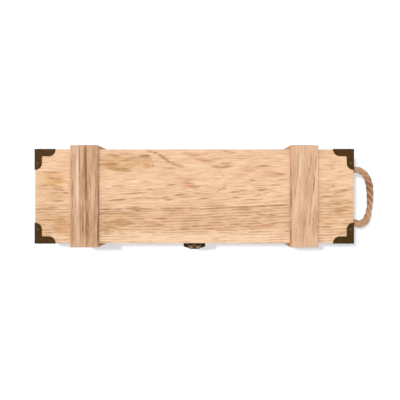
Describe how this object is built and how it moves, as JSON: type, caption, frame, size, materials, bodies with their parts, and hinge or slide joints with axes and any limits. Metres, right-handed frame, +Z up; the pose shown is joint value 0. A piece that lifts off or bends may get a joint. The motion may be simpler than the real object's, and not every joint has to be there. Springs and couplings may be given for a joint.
{
  "type": "wine box",
  "caption": "Hinged wooden wine box lying on its back, with cross battens, dark bronze corner caps, a snap clasp and a rope handle on one end.",
  "frame": {"origin": "on the surface the box stands on, under the middle of the case, the rope handle left out", "axes": "+X along the case towards the end with the rope handle, -Y towards the clasp, +Z up through the lid"},
  "size_m": [0.3831, 0.1173, 0.1085],
  "materials": {
    "case_wood": "pale oiled timber with open grain, satin",
    "batten_wood": "browner oiled timber, strong streaks, satin",
    "antique_bronze": "antique bronze plated sheet steel, dull",
    "rope": "three-strand jute, hairy"
  },
  "bodies": {
    "tray": {"bottom_board": "case_wood", "front_wall": "case_wood", "back_wall": "case_wood", "left_end": "case_wood", "right_end": "case_wood", "body_batten_front_left": "batten_wood", "body_batten_front_right": "batten_wood", "body_batten_back_left": "batten_wood", "body_batten_back_right": "batten_wood", "base_corner_front_left": "antique_bronze", "base_corner_front_right": "antique_bronze", "base_corner_back_left": "antique_bronze", "base_corner_back_right": "antique_bronze", "base_corner_tacks": "antique_bronze", "catch_plate": "antique_bronze", "catch_tacks": "antique_bronze", "body_hinge_leaf_left": "antique_bronze", "body_hinge_leaf_right": "antique_bronze", "body_hinge_screws": "antique_bronze", "hinge_pin_left": "antique_bronze", "hinge_pin_right": "antique_bronze", "rope_stub_front": "rope", "rope_stub_back": "rope", "rope_knot_front": "rope", "rope_knot_back": "rope"},
    "lid": {"lid_board": "case_wood", "lid_rim_front": "case_wood", "lid_rim_back": "case_wood", "lid_rim_left": "case_wood", "lid_rim_right": "case_wood", "lid_batten_top_left": "batten_wood", "lid_batten_top_right": "batten_wood", "lid_batten_front_left": "batten_wood", "lid_batten_front_right": "batten_wood", "lid_batten_back_left": "batten_wood", "lid_batten_back_right": "batten_wood", "lid_corner_front_left": "antique_bronze", "lid_corner_front_right": "antique_bronze", "lid_corner_back_left": "antique_bronze", "lid_corner_back_right": "antique_bronze", "lid_corner_tacks": "antique_bronze", "lid_hinge_leaf_left": "antique_bronze", "lid_hinge_leaf_right": "antique_bronze", "lid_hinge_screws": "antique_bronze", "clasp_plate": "antique_bronze", "clasp_tacks": "antique_bronze", "clasp_pin": "antique_bronze"},
    "hasp": {"hasp": "antique_bronze"},
    "rope": {"rope_loop": "rope"}
  },
  "joints": [
    {"name": "lid_hinge", "type": "hinge", "parent": "tray", "child": "lid", "pos_m": [0, 0.0562, 0.0778], "axis": [-1, 0, 0], "range_deg": [0, 180]},
    {"name": "hasp_hinge", "type": "hinge", "parent": "lid", "child": "hasp", "pos_m": [0, -0.054, 0.084], "axis": [-1, 0, 0], "range_deg": [-8, 140]},
    {"name": "rope_swing", "type": "hinge", "parent": "tray", "child": "rope", "pos_m": [0.17905, 0, 0.05], "axis": [0, 1, 0], "range_deg": [-65, 60], "stiffness_Nm_per_rad": 0.03}
  ]
}
